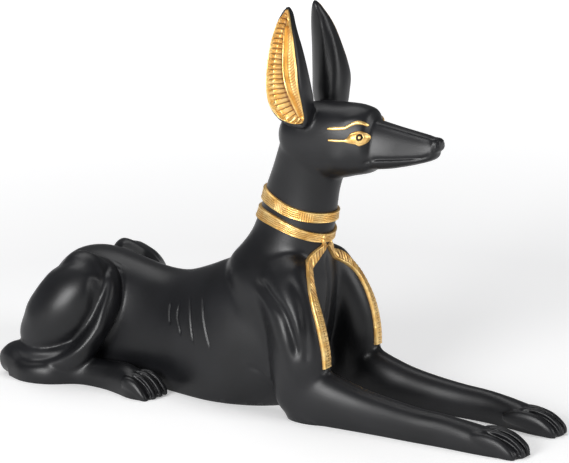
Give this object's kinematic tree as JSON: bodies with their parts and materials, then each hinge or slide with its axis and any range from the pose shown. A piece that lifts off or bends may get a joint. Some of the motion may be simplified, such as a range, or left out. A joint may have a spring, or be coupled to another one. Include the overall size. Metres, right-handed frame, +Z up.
{
  "type": "lying jackal statuette",
  "caption": "Jackal lying with its head up and ears pricked, forelegs stretched forward, with a banded collar and hanging ribbons.",
  "frame": {"origin": "on the ground below the middle of the figure's length, on its plane of symmetry", "axes": "+X to the nose and the forepaws, +Y to the animal's left, +Z up"},
  "size_m": [0.2444, 0.0832, 0.1632],
  "materials": {
    "black_satin": "satin black paint over cast resin",
    "antique_gold": "metallic gold paint with a brown wash in its grooves"
  },
  "bodies": {
    "root": {"jackal": "black_satin"}
  },
  "joints": []
}
